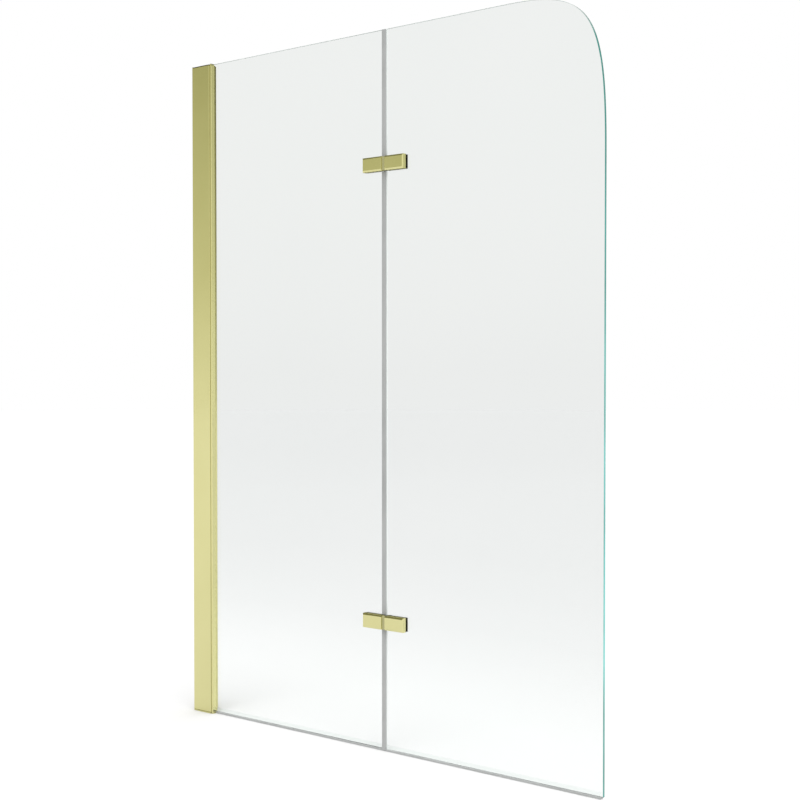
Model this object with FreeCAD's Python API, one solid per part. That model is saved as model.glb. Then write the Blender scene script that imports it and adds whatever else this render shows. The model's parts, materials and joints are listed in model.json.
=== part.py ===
import FreeCAD
import Part
import os

Vector = FreeCAD.Vector

# Folding bath screen. The wall is the plane x = 0 and the free edge lies towards +x.
# The mid-plane of the glass is y = 0, with the room at -y and the bath at +y.
# The bath rim is z = 0. All lengths are millimetres.
screen_width = 1000.0
screen_height = 1400.0
glass_thickness = 6.0
glass_arris = 0.6
glass_gap = 5.2
fold_axis_from_wall = 523.0

# Soft upper corner of the folding pane: a curve that leaves the top edge and the free edge
# at these distances from the corner and is pulled towards the corner by the share.
corner_run_top = 200.0
corner_run_side = 280.0
corner_pull_share = 0.85

# Wall channel, a U extrusion that opens away from the wall. Its room side stands well in front
# of the glass and its bath side lies close behind it.
channel_projection = 51.2
channel_room_depth = 14.0
channel_wall = 2.0
channel_web = 2.5
channel_top_drop = 1.0
lead_length = 8.0
lead_drop = 0.7
wall_hole_diameter = 5.5
wall_hole_end_inset = 99.5
wall_hole_count = 4

# Plug-in end caps of the wall channel
channel_cap_thickness = 2.5
top_cap_round_share = 0.8
bottom_cap_round_share = 0.2
bottom_cap_gap = 0.8
channel_plug_depth = 12.0
channel_plug_length = 7.0
channel_cap_clearance = 0.1
cap_glass_clearance = 0.6

# Glazing profile that slides in the wall channel and holds the fixed pane
slide_clearance = 0.25
glazing_back_from_wall = 14.0
glazing_wall = 2.0
pocket_wall = 1.5
groove_width = 1.5
head_length = 4.2
head_inset = 1.0
head_outer_round_share = 0.36
head_groove_round_share = 0.18
head_cap_round_share = 0.24
bath_flange_length = 1.0
bath_flange_inset = 0.25
head_top_rise = 0.7
glazing_end_clearance = 0.3
glass_bite = 18.5
head_wall = 1.0
head_peg_depth = 10.0
head_peg_clearance = 0.15

# Soft strips and nylon blocks in the glass pocket
glazing_gasket_thickness = 1.5
glazing_gasket_depth = 12.5
glazing_gasket_recess = 0.2
edge_block_thickness = 1.5
edge_block_length = 60.0
edge_block_end_inset = 100.0
edge_block_count = 3
setting_block_length = 13.0

# Adjusting screws on the bath side, which clamp the glazing profile to the channel
adjust_in = 1.2
adjust_out = 15.0
adjust_screw_from_wall = 25.0
adjust_end_inset = 160.0
adjust_screw_count = 3
adjust_screw_diameter = 4.0
adjust_head_diameter = 8.0
adjust_head_height = 2.6
adjust_tip = 1.5
adjust_slot_clearance = 0.3
adjust_washer_diameter = 12.0
adjust_washer_thickness = 1.0
adjust_washer_clearance = 0.2
cover_wall = 1.0
cover_headroom = 0.3
cover_clearance = 0.15
cover_round = 0.8

# Bottom seals: a clear clip on the glass with two soft lips that reach the bath rim
seal_leg = 0.9
seal_grip_clearance = 0.05
bottom_leg_height = 8.0
bottom_base = 1.1
lip_height = 2.6
lip_thickness = 1.0
lip_root_offset = 3.0
lip_tip_offset = 3.3
bottom_seal_start_clearance = 0.3
bottom_seal_free_inset = 4.0

# Upright seal clipped on the fixed pane, with a hollow bulb that closes the glass gap
gap_leg_length = 5.1
gap_base = 1.0
gap_bulb_clearance = 0.4
gap_bulb_wall = 0.9
gap_bulb_bore = 3.0
gap_seal_lift = 0.3
gap_notch_clearance = 1.0
gap_notch_skin = 0.2

# Hinges
hinge_from_bottom = 252.5
hinge_from_top = 259.0
hinge_height = 28.0
front_plate_thickness = 10.0
bevel_depth = 2.0
bevel_run = 2.0
bevel_rise = 3.0
seam_depth = 2.0
seam_end_inset = 1.0
seam_clearance = 0.6
fixed_plate_near = 1.5
fixed_plate_length = 47.3
folding_plate_near = 6.3
folding_plate_length = 44.5
hinge_gasket_thickness = 1.4
back_gasket_inset = 0.6
back_height = 22.0
back_plate_thickness = 6.0
back_plate_setback = 5.5
back_plate_chamfer = 0.8
folded_leaf_gap = 1.2
barrel_diameter = 12.0
barrel_clearance = 0.4
middle_knuckle_height = 12.0
knuckle_gap = 0.6
pin_diameter = 6.0
pin_recess = 0.4
pin_chamfer = 0.5
press_clearance = 0.02
running_clearance = 0.05
bush_wall = 0.95
bush_length = 5.0
bush_flange_width = 1.2
bush_flange_thickness = 0.5

# Clamp screws of the hinges, with a nylon sleeve in each hole of the glass
clamp_screw_pitch = 20.0
clamp_screw_diameter = 5.0
clamp_head_diameter = 9.6
clamp_thread_depth = 7.0
clamp_tap_spare = 0.5
clamp_hole_clearance = 0.25
thread_clearance = 0.03
countersink_clearance = 0.05
screw_key_size = 3.0
screw_key_depth = 1.6
glass_hole_diameter = 10.4
sleeve_clearance = 0.2

# One overrun serves every cut, and places closer than the tolerance are the same place
overrun = 1.0
place_tolerance = 0.01

# Levels across the glass, measured from its mid-plane
glass_half = glass_thickness / 2
gasket_outer = glass_half + hinge_gasket_thickness
front_face = gasket_outer + front_plate_thickness
back_face = gasket_outer + back_plate_thickness
fold_axis_offset = back_face + folded_leaf_gap / 2
barrel_radius = barrel_diameter / 2
channel_room_inner = channel_room_depth - channel_wall
glazing_room = channel_room_inner - slide_clearance
head_room = channel_room_depth - head_inset
pocket_half = glass_half + glazing_gasket_thickness
chamber_inner = pocket_half + pocket_wall
chamber_outer = glazing_room - glazing_wall
glazing_bath = pocket_half + pocket_wall
channel_bath_inner = glazing_bath + slide_clearance
channel_bath = channel_bath_inner + channel_wall
bath_flange_face = channel_bath - bath_flange_inset
washer_low = channel_bath + adjust_washer_clearance
washer_high = washer_low + adjust_washer_thickness

# Distances from the wall
head_start = channel_projection + groove_width
head_end = head_start + head_length
bath_flange_end = head_start + bath_flange_length
fixed_glass_start = head_end - glass_bite
fixed_glass_end = fold_axis_from_wall - glass_gap / 2
folding_glass_start = fold_axis_from_wall + glass_gap / 2
pocket_floor = fixed_glass_start - edge_block_thickness
chamber_start = glazing_back_from_wall + glazing_wall
chamber_end = head_end - head_wall

# Heights
glass_bottom = lip_height + bottom_base
channel_top = screen_height - channel_top_drop
glazing_bottom = channel_cap_thickness + glazing_end_clearance
glazing_top = channel_top - channel_cap_thickness - glazing_end_clearance
head_top = channel_top + head_top_rise
hinge_heights = {
    "lower": hinge_from_bottom,
    "upper": screen_height - hinge_from_top,
}

x_way = Vector(1, 0, 0)
y_way = Vector(0, 1, 0)
z_way = Vector(0, 0, 1)


def spread(first, last, count):
    """Evenly spaced places from first to last."""
    return [first + (last - first) * index / (count - 1) for index in range(count)]


wall_hole_heights = spread(
    wall_hole_end_inset, channel_top - wall_hole_end_inset, wall_hole_count
)
adjust_heights = spread(adjust_end_inset, channel_top - adjust_end_inset, adjust_screw_count)


def block(x_low, x_high, y_low, y_high, z_low, z_high):
    """Box between two corners."""
    corner = Vector(x_low, y_low, z_low)
    return Part.makeBox(x_high - x_low, y_high - y_low, z_high - z_low, corner)


def rod(diameter, start, way, length):
    """Round bar from a point along a direction."""
    return Part.makeCylinder(diameter / 2, length, start, way)


def outline_face(points):
    """Flat face inside straight edges."""
    return Part.Face(Part.makePolygon(points + points[:1]))


def edges_along(shape, test):
    """Edges whose two ends both pass the test."""
    return [e for e in shape.Edges if all(test(v.Point) for v in e.Vertexes)]


def near(value, target):
    """True where two places are the same point on an axis."""
    return abs(value - target) < place_tolerance


def cut_all(shape, tools):
    """The shape without the tools."""
    return shape.cut(Part.makeCompound(tools)).removeSplitter()


def fuse_all(shapes):
    """One solid from touching solids."""
    return shapes[0].multiFuse(shapes[1:]).removeSplitter()


def hex_key(start, way_in):
    """Six-sided key recess that starts at a screw head's face."""
    first = Vector(screw_key_size / 3**0.5, 0, 0)
    turns = [FreeCAD.Rotation(y_way, 360 * side / 6) for side in range(6)]
    socket = outline_face([start + turn.multVec(first) for turn in turns])
    return socket.extrude(way_in * screw_key_depth)


# Wall channel and its end caps


def channel_bar(start, z_low, z_high):
    """Solid bar with the channel's outside, sloped at its mouth on the room side."""
    corners = [
        (start, -channel_room_depth),
        (channel_projection - lead_length, -channel_room_depth),
        (channel_projection, lead_drop - channel_room_depth),
        (channel_projection, channel_bath),
        (start, channel_bath),
    ]
    section = outline_face([Vector(x, y, z_low) for x, y in corners])
    return section.extrude(z_way * (z_high - z_low))


def wall_channel():
    """U section between the end caps, on a web that runs past them to both ends."""
    sides_top = channel_top - channel_cap_thickness
    sides = channel_bar(0, channel_cap_thickness + bottom_cap_gap, sides_top)
    web = block(0, channel_web, -channel_room_depth, channel_bath, 0, channel_top)
    body = fuse_all([sides, web])
    cuts = [
        block(
            channel_web,
            channel_projection + overrun,
            -channel_room_inner,
            channel_bath_inner,
            -overrun,
            channel_top + overrun,
        )
    ]
    for height in wall_hole_heights:
        start = Vector(-overrun, 0, height)
        cuts.append(rod(wall_hole_diameter, start, x_way, channel_web + 2 * overrun))
    slot_width = adjust_screw_diameter + 2 * adjust_slot_clearance
    slot_low = adjust_screw_from_wall - adjust_in
    slot_high = adjust_screw_from_wall + adjust_out
    slot_start = channel_bath_inner - overrun
    slot_depth = channel_wall + 2 * overrun
    for height in adjust_heights:
        for x in (slot_low, slot_high):
            cuts.append(rod(slot_width, Vector(x, slot_start, height), y_way, slot_depth))
        cuts.append(
            block(
                slot_low,
                slot_high,
                slot_start,
                slot_start + slot_depth,
                height - slot_width / 2,
                height + slot_width / 2,
            )
        )
    return cut_all(body, cuts)


def channel_cap(plate_low, plug_low, round_share):
    """Lid on the channel's end, its upper rim rounded, with a plug beside the web."""
    x_low = channel_web + channel_cap_clearance
    plate_high = plate_low + channel_cap_thickness
    plate = channel_bar(x_low, plate_low, plate_high)
    upper_edges = edges_along(plate, lambda p: near(p.z, plate_high))
    rim = [e for e in upper_edges if not all(near(v.X, x_low) for v in e.Vertexes)]
    plate = plate.makeFillet(channel_cap_thickness * round_share, rim)
    x_high = x_low + channel_plug_length
    y_low = channel_cap_clearance - channel_room_inner
    y_high = channel_bath_inner - channel_cap_clearance
    plug = block(x_low, x_high, y_low, y_high, plug_low, plug_low + channel_plug_depth)
    return fuse_all([plate, plug])


def channel_top_cap():
    plate_low = channel_top - channel_cap_thickness
    cap = channel_cap(plate_low, plate_low - channel_plug_depth, top_cap_round_share)
    half = glass_half + cap_glass_clearance
    slot_start = fixed_glass_start - adjust_in - cap_glass_clearance
    slot_end = channel_projection + overrun
    slot = block(slot_start, slot_end, -half, half, plate_low - overrun, channel_top + overrun)
    return cut_all(cap, [slot])


def channel_bottom_cap():
    return channel_cap(0, channel_cap_thickness, bottom_cap_round_share)


# Glazing profile with what it carries


def glazing_head(y_inner, z_low, z_high):
    """Head of the glazing profile on the room side, with rounded upright edges."""
    head = block(head_start, head_end, -head_room, y_inner, z_low, z_high)
    rounds = ((head_end, head_outer_round_share), (head_start, head_groove_round_share))
    for x, round_share in rounds:
        upright = edges_along(head, lambda p: near(p.x, x) and near(p.y, -head_room))
        head = head.makeFillet(head_length * round_share, upright)
    return head


def glazing_profile():
    body = block(
        glazing_back_from_wall,
        head_start,
        -glazing_room,
        glazing_bath,
        glazing_bottom,
        glazing_top,
    )
    bath_flange = block(
        head_start,
        bath_flange_end,
        pocket_half,
        bath_flange_face,
        glazing_bottom,
        glazing_top,
    )
    head = glazing_head(-pocket_half, glazing_bottom, glazing_top)
    profile = fuse_all([body, bath_flange, head])
    low = glazing_bottom - overrun
    high = glazing_top + overrun
    cuts = [
        block(pocket_floor, head_end + overrun, -pocket_half, pocket_half, low, high),
        block(chamber_start, pocket_floor - pocket_wall, -pocket_half, pocket_half, low, high),
        block(chamber_start, chamber_end, -chamber_outer, -chamber_inner, low, high),
    ]
    hole = adjust_screw_diameter + 2 * thread_clearance
    for height in adjust_heights:
        start = Vector(adjust_screw_from_wall, pocket_half - overrun, height)
        cuts.append(rod(hole, start, y_way, pocket_wall + 2 * overrun))
    return cut_all(profile, cuts)


def head_peg(z_low):
    """Peg of a head cap in the hollow chamber of the profile."""
    y_low = head_peg_clearance - chamber_outer
    y_high = -chamber_inner - head_peg_clearance
    x_high = chamber_end - head_peg_clearance
    return block(head_start, x_high, y_low, y_high, z_low, z_low + head_peg_depth)


def glazing_top_cap():
    """Cap on the head, in front of the glass."""
    lid = glazing_head(-glass_half - seal_grip_clearance, glazing_top, head_top)
    rim = edges_along(lid, lambda p: near(p.z, head_top) and near(p.x, head_end))
    lid = lid.makeFillet(head_length * head_cap_round_share, rim)
    return fuse_all([lid, head_peg(glazing_top - head_peg_depth)])


def glazing_bottom_cap():
    """Cap under the head that also carries the glass on its setting block."""
    return fuse_all([glazing_head(glass_half, 0, glazing_bottom), head_peg(glazing_bottom)])


def glazing_gasket(side):
    """Soft strip between the glass and one side of the pocket, short of that side's end."""
    y_low, y_high = sorted((side * glass_half, side * pocket_half))
    pocket_end = head_end if side < 0 else bath_flange_end
    x_high = pocket_end - glazing_gasket_recess
    x_low = x_high - glazing_gasket_depth
    return block(x_low, x_high, y_low, y_high, glass_bottom, glazing_top)


def glass_edge_blocks():
    """Nylon blocks between the glass and the floor of its pocket."""
    first = edge_block_end_inset
    last = channel_top - edge_block_end_inset
    blocks = [
        block(
            pocket_floor,
            fixed_glass_start,
            -glass_half,
            glass_half,
            height - edge_block_length / 2,
            height + edge_block_length / 2,
        )
        for height in spread(first, last, edge_block_count)
    ]
    return Part.makeCompound(blocks)


def glass_setting_block():
    return block(
        head_end - setting_block_length,
        head_end,
        -glass_half,
        glass_half,
        glazing_bottom,
        glass_bottom,
    )


# Adjusting screws


def adjusting_screw(height):
    tip = pocket_half - adjust_tip
    shank = rod(
        adjust_screw_diameter,
        Vector(adjust_screw_from_wall, tip, height),
        y_way,
        washer_high - tip,
    )
    head_start_point = Vector(adjust_screw_from_wall, washer_high, height)
    head = rod(adjust_head_diameter, head_start_point, y_way, adjust_head_height)
    key_start = head_start_point + y_way * adjust_head_height
    return cut_all(fuse_all([shank, head]), [hex_key(key_start, -y_way)])


def adjusting_washer(height):
    start = Vector(adjust_screw_from_wall, washer_low, height)
    disc = rod(adjust_washer_diameter, start, y_way, adjust_washer_thickness)
    bore = adjust_screw_diameter + 2 * thread_clearance
    hole = rod(bore, start - y_way * overrun, y_way, adjust_washer_thickness + 2 * overrun)
    return cut_all(disc, [hole])


def adjusting_cover(height):
    """Round cover pressed over a washer and its screw head."""
    inner = adjust_washer_diameter + 2 * cover_clearance
    inner_depth = adjust_washer_thickness + adjust_head_height + cover_headroom
    start = Vector(adjust_screw_from_wall, washer_low, height)
    shell = rod(inner + 2 * cover_wall, start, y_way, inner_depth + cover_wall)
    outer_face = washer_low + inner_depth + cover_wall
    rim = edges_along(shell, lambda p: near(p.y, outer_face))
    shell = shell.makeFillet(cover_round, rim)
    room = rod(inner, start - y_way * overrun, y_way, inner_depth + overrun)
    return cut_all(shell, [room])


def at_each_adjuster(piece):
    return Part.makeCompound([piece(height) for height in adjust_heights])


# Glass panes


def clamp_places(leaf):
    """Distances of a leaf's two screws from the fold axis."""
    plate_near = barrel_radius + barrel_clearance
    plate_far = leaf["near"] + leaf["length"] - back_plate_setback
    middle = (plate_near + plate_far) / 2
    return [middle + sign * clamp_screw_pitch / 2 for sign in (-1, 1)]


def clamp_centres(leaf, centre):
    """Screw centres of one leaf, as x and z."""
    return [
        (fold_axis_from_wall + leaf["way"] * place, centre) for place in clamp_places(leaf)
    ]


def drill(shape, centres, diameter, y_low, y_high):
    """Holes across the glass from one level to another."""
    tools = [rod(diameter, Vector(x, y_low, z), y_way, y_high - y_low) for x, z in centres]
    return cut_all(shape, tools)


def finished_pane(pane, leaf):
    """Pane with its sharp edges ground off and the holes for a leaf of each hinge."""
    sharp = []
    for side in (-1, 1):
        sharp += edges_along(pane, lambda p: near(p.y, side * glass_half))
    pane = pane.makeChamfer(glass_arris, sharp)
    centres = []
    for centre in hinge_heights.values():
        centres += clamp_centres(leaf, centre)
    low = -glass_half - overrun
    return drill(pane, centres, glass_hole_diameter, low, glass_half + overrun)


def fixed_glass():
    pane = block(
        fixed_glass_start, fixed_glass_end, -glass_half, glass_half, glass_bottom, screen_height
    )
    return finished_pane(pane, leaves["fixed"])


def folding_glass():
    def place(x, z):
        return Vector(x, -glass_half, z)

    curve_top = place(screen_width - corner_run_top, screen_height)
    curve_side = place(screen_width, screen_height - corner_run_side)
    corner = place(screen_width, screen_height)
    curve = Part.BezierCurve()
    curve.setPoles(
        [
            curve_top,
            curve_top + (corner - curve_top) * corner_pull_share,
            curve_side + (corner - curve_side) * corner_pull_share,
            curve_side,
        ]
    )
    corners = [
        curve_side,
        place(screen_width, glass_bottom),
        place(folding_glass_start, glass_bottom),
        place(folding_glass_start, screen_height),
        curve_top,
    ]
    edges = [Part.makeLine(a, b) for a, b in zip(corners, corners[1:])]
    wire = Part.Wire([curve.toShape()] + edges)
    pane = Part.Face(wire).extrude(y_way * glass_thickness)
    return finished_pane(pane, leaves["folding"])


# Seals


def bottom_seal(x_low, x_high):
    inner = glass_half + seal_grip_clearance
    outer = inner + seal_leg
    base_top = glass_bottom - seal_grip_clearance
    leg_top = glass_bottom + bottom_leg_height
    bath_side = [
        (lip_root_offset - lip_thickness / 2, lip_height),
        (lip_tip_offset - lip_thickness / 2, 0),
        (lip_tip_offset + lip_thickness / 2, 0),
        (lip_root_offset + lip_thickness / 2, lip_height),
        (outer, lip_height),
        (outer, leg_top),
        (inner, leg_top),
        (inner, base_top),
    ]
    room_side = [(-y, z) for y, z in reversed(bath_side)]
    section = outline_face([Vector(x_low, y, z) for y, z in bath_side + room_side])
    return section.extrude(x_way * (x_high - x_low))


def hinge_gap_seal():
    inner = glass_half + seal_grip_clearance
    outer = inner + seal_leg
    leg_end = fixed_glass_end - gap_leg_length
    seat = fixed_glass_end + seal_grip_clearance
    bulb_start = fixed_glass_end + gap_base
    bulb_tip = folding_glass_start - gap_bulb_clearance

    def place(x, y):
        return Vector(x, y, gap_seal_lift)

    corners = [
        place(bulb_start, -outer),
        place(leg_end, -outer),
        place(leg_end, -inner),
        place(seat, -inner),
        place(seat, inner),
        place(leg_end, inner),
        place(leg_end, outer),
        place(bulb_start, outer),
    ]
    edges = [Part.makeLine(a, b) for a, b in zip(corners, corners[1:])]
    bulb = Part.Arc(corners[-1], place(bulb_tip, 0), corners[0]).toShape()
    length = screen_height - gap_seal_lift
    body = Part.Face(Part.Wire(edges + [bulb])).extrude(z_way * length)
    bore_x = bulb_tip - gap_bulb_wall - gap_bulb_bore / 2
    bore_start = place(bore_x, 0) - z_way * overrun
    cuts = [rod(gap_bulb_bore, bore_start, z_way, length + 2 * overrun)]
    core = glass_half - gap_notch_skin
    half_notch = hinge_height / 2 + gap_notch_clearance
    for centre in hinge_heights.values():
        for low, high in ((-outer - overrun, -core), (core, outer + overrun)):
            cuts.append(
                block(
                    leg_end - overrun,
                    folding_glass_start,
                    low,
                    high,
                    centre - half_notch,
                    centre + half_notch,
                )
            )
    return cut_all(body, cuts)


# Hinges. The fixed leaf lies towards the wall and the folding leaf towards the free edge.


leaves = {
    "fixed": {"way": -1, "near": fixed_plate_near, "length": fixed_plate_length},
    "folding": {"way": 1, "near": folding_plate_near, "length": folding_plate_length},
}


def leaf_block(leaf, near_edge, far_edge, y_low, y_high, z_low, z_high):
    """Box on one leaf, with its two edges given as distances from the fold axis."""
    x_low, x_high = sorted(
        fold_axis_from_wall + leaf["way"] * edge for edge in (near_edge, far_edge)
    )
    return block(x_low, x_high, y_low, y_high, z_low, z_high)


def hinge_span(centre):
    """Lower and upper end of the front plates and their gaskets."""
    return centre - hinge_height / 2, centre + hinge_height / 2


def back_span(centre):
    """Lower and upper end of the back plates and their knuckles."""
    return centre - back_height / 2, centre + back_height / 2


def plate_outline(leaf, far_edge, y, z_low, z_high):
    """Upright rectangle on one leaf, from its seam to a distance from the fold axis."""
    seam, end = (fold_axis_from_wall + leaf["way"] * edge for edge in (leaf["near"], far_edge))
    corners = [(seam, z_low), (end, z_low), (end, z_high), (seam, z_high), (seam, z_low)]
    return Part.makePolygon([Vector(x, y, z) for x, z in corners])


def front_plate(leaf, centre):
    """Plate bevelled on three sides, with blind holes for its screws."""
    low, high = hinge_span(centre)
    far = leaf["near"] + leaf["length"]
    shoulder = bevel_depth - front_face
    outlines = [
        plate_outline(leaf, far, shoulder, low, high),
        plate_outline(leaf, far - bevel_run, -front_face, low + bevel_rise, high - bevel_rise),
    ]
    solids = [
        leaf_block(leaf, leaf["near"], far, shoulder, -gasket_outer, low, high),
        Part.makeLoft(outlines, True, True),
    ]
    plate = fuse_all(solids)
    tap = clamp_screw_diameter + 2 * thread_clearance
    bottom = -gasket_outer - clamp_thread_depth - clamp_tap_spare
    return drill(plate, clamp_centres(leaf, centre), tap, bottom, -gasket_outer + overrun)


def seam_strip(centre):
    """Soft strip on the end of the fixed plate that fills the seam between the plates."""
    low, high = hinge_span(centre)
    tip = seam_clearance - folding_plate_near
    floor = seam_depth - front_face
    return leaf_block(
        leaves["fixed"],
        tip,
        fixed_plate_near,
        floor,
        -gasket_outer,
        low + seam_end_inset,
        high - seam_end_inset,
    )


def hinge_gasket(leaf, centre, y_low, y_high, end_inset):
    low, high = hinge_span(centre)
    far = leaf["near"] + leaf["length"]
    pad = leaf_block(
        leaf, leaf["near"], far, y_low, y_high, low + end_inset, high - end_inset
    )
    hole = clamp_screw_diameter + 2 * clamp_hole_clearance
    return drill(pad, clamp_centres(leaf, centre), hole, y_low - overrun, y_high + overrun)


def front_gasket(leaf, centre):
    return hinge_gasket(leaf, centre, -gasket_outer, -glass_half, 0)


def back_gasket(leaf, centre):
    return hinge_gasket(leaf, centre, glass_half, gasket_outer, back_gasket_inset)


def knuckle_spans(leaf, centre):
    """Heights of a leaf's knuckles: two outer ones when fixed, the middle one when folding."""
    low, high = back_span(centre)
    middle_low = centre - middle_knuckle_height / 2
    middle_high = centre + middle_knuckle_height / 2
    if leaf["way"] > 0:
        return [(middle_low, middle_high)]
    return [(low, middle_low - knuckle_gap), (middle_high + knuckle_gap, high)]


def countersunk(diameter, head_diameter, x, z):
    """Cone under a flush screw head in the bath side of a back plate."""
    depth = (head_diameter - diameter) / 2
    start = Vector(x, back_face - depth, z)
    return Part.makeCone(diameter / 2, head_diameter / 2, depth, start, y_way)


def back_plate(leaf, centre):
    low, high = back_span(centre)
    plate_near = barrel_radius + barrel_clearance
    plate_far = leaf["near"] + leaf["length"] - back_plate_setback
    plate = leaf_block(leaf, plate_near, plate_far, gasket_outer, back_face, low, high)
    inner_edge = fold_axis_from_wall + leaf["way"] * plate_near
    face_edges = edges_along(plate, lambda p: near(p.y, back_face))
    rim = [e for e in face_edges if not all(near(v.X, inner_edge) for v in e.Vertexes)]
    plate = plate.makeChamfer(back_plate_chamfer, rim)
    solids = [plate]
    barrel_low = fold_axis_offset - barrel_radius
    for z_low, z_high in knuckle_spans(leaf, centre):
        axis_point = Vector(fold_axis_from_wall, fold_axis_offset, z_low)
        solids.append(rod(barrel_diameter, axis_point, z_way, z_high - z_low))
        arm_low = max(z_low, low + back_plate_chamfer)
        arm_high = min(z_high, high - back_plate_chamfer)
        solids.append(leaf_block(leaf, 0, plate_near, barrel_low, back_face, arm_low, arm_high))
    body = fuse_all(solids)
    fit = press_clearance if leaf["way"] < 0 else press_clearance + running_clearance + bush_wall
    bore = pin_diameter + 2 * fit
    bore_start = Vector(fold_axis_from_wall, fold_axis_offset, low - overrun)
    body = cut_all(body, [rod(bore, bore_start, z_way, back_height + 2 * overrun)])
    centres = clamp_centres(leaf, centre)
    hole = clamp_screw_diameter + 2 * countersink_clearance
    head = clamp_head_diameter + 2 * countersink_clearance
    body = drill(body, centres, hole, gasket_outer - overrun, back_face + overrun)
    return cut_all(body, [countersunk(hole, head, x, z) for x, z in centres])


def clamp_screws(leaf, centre):
    screws = []
    tip = -gasket_outer - clamp_thread_depth
    for x, z in clamp_centres(leaf, centre):
        shank = rod(clamp_screw_diameter, Vector(x, tip, z), y_way, back_face - tip)
        head = countersunk(clamp_screw_diameter, clamp_head_diameter, x, z)
        key = hex_key(Vector(x, back_face, z), -y_way)
        screws.append(cut_all(fuse_all([shank, head]), [key]))
    return Part.makeCompound(screws)


def glass_sleeves(leaf, centre):
    sleeves = []
    outer = glass_hole_diameter - 2 * sleeve_clearance
    bore = clamp_screw_diameter + 2 * clamp_hole_clearance
    for x, z in clamp_centres(leaf, centre):
        tube = rod(outer, Vector(x, -glass_half, z), y_way, glass_thickness)
        sleeves.append(drill(tube, [(x, z)], bore, -glass_half - overrun, glass_half + overrun))
    return Part.makeCompound(sleeves)


def hinge_pin(centre):
    low, high = back_span(centre)
    start = Vector(fold_axis_from_wall, fold_axis_offset, low + pin_recess)
    pin = rod(pin_diameter, start, z_way, high - low - 2 * pin_recess)
    ends = [e for e in pin.Edges if len(e.Vertexes) == 1]
    return pin.makeChamfer(pin_chamfer, ends)


def pivot_bushes(centre):
    """Flanged nylon bushes pressed into both ends of the middle knuckle."""
    bore = pin_diameter + 2 * running_clearance
    outer = bore + 2 * bush_wall
    flange = outer + 2 * bush_flange_width
    bushes = []
    for way in (-1, 1):
        mouth = Vector(
            fold_axis_from_wall, fold_axis_offset, centre + way * middle_knuckle_height / 2
        )
        out = z_way * way
        tube = rod(outer, mouth - out * bush_length, out, bush_length)
        collar = rod(flange, mouth, out, bush_flange_thickness)
        hole_start = mouth - out * (bush_length + overrun)
        hole_length = bush_length + bush_flange_thickness + 2 * overrun
        hole = rod(bore, hole_start, out, hole_length)
        bushes.append(cut_all(fuse_all([tube, collar]), [hole]))
    return Part.makeCompound(bushes)


def hinge_pieces(name, centre):
    pieces = {
        f"{name}_hinge_pin": hinge_pin(centre),
        f"{name}_pivot_bushes": pivot_bushes(centre),
        f"{name}_seam_strip": seam_strip(centre),
    }
    for side, leaf in leaves.items():
        pieces[f"{name}_{side}_front_plate"] = front_plate(leaf, centre)
        pieces[f"{name}_{side}_front_gasket"] = front_gasket(leaf, centre)
        pieces[f"{name}_{side}_back_gasket"] = back_gasket(leaf, centre)
        pieces[f"{name}_{side}_back_plate"] = back_plate(leaf, centre)
        pieces[f"{name}_{side}_clamp_screws"] = clamp_screws(leaf, centre)
        pieces[f"{name}_{side}_glass_sleeves"] = glass_sleeves(leaf, centre)
    return pieces


def bath_screen():
    seal_start = head_end + bottom_seal_start_clearance
    seal_end = fixed_glass_end - gap_leg_length - bottom_seal_start_clearance
    free_end = screen_width - bottom_seal_free_inset
    pieces = {
        "wall_channel": wall_channel(),
        "channel_top_cap": channel_top_cap(),
        "channel_bottom_cap": channel_bottom_cap(),
        "glazing_profile": glazing_profile(),
        "glazing_top_cap": glazing_top_cap(),
        "glazing_bottom_cap": glazing_bottom_cap(),
        "glazing_gasket_room": glazing_gasket(-1),
        "glazing_gasket_bath": glazing_gasket(1),
        "glass_edge_blocks": glass_edge_blocks(),
        "glass_setting_block": glass_setting_block(),
        "adjusting_screws": at_each_adjuster(adjusting_screw),
        "adjusting_washers": at_each_adjuster(adjusting_washer),
        "adjusting_covers": at_each_adjuster(adjusting_cover),
        "fixed_glass": fixed_glass(),
        "folding_glass": folding_glass(),
        "hinge_gap_seal": hinge_gap_seal(),
        "fixed_bottom_seal": bottom_seal(seal_start, seal_end),
        "folding_bottom_seal": bottom_seal(folding_glass_start, free_end),
    }
    for name, centre in hinge_heights.items():
        pieces.update(hinge_pieces(name, centre))
    return pieces


os.makedirs("parts", exist_ok=True)
for piece_name, piece_shape in bath_screen().items():
    if not piece_shape.isValid():
        raise ValueError(f"{piece_name} is not a valid solid")
    piece_shape.exportStep(f"parts/{piece_name}.step")
    print(piece_name, len(piece_shape.Solids), round(piece_shape.Volume))
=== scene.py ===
import json
import math

import bmesh
import bpy
from bpy.props import FloatProperty, FloatVectorProperty, IntProperty, PointerProperty
from mathutils import Matrix, Vector, geometry

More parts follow.
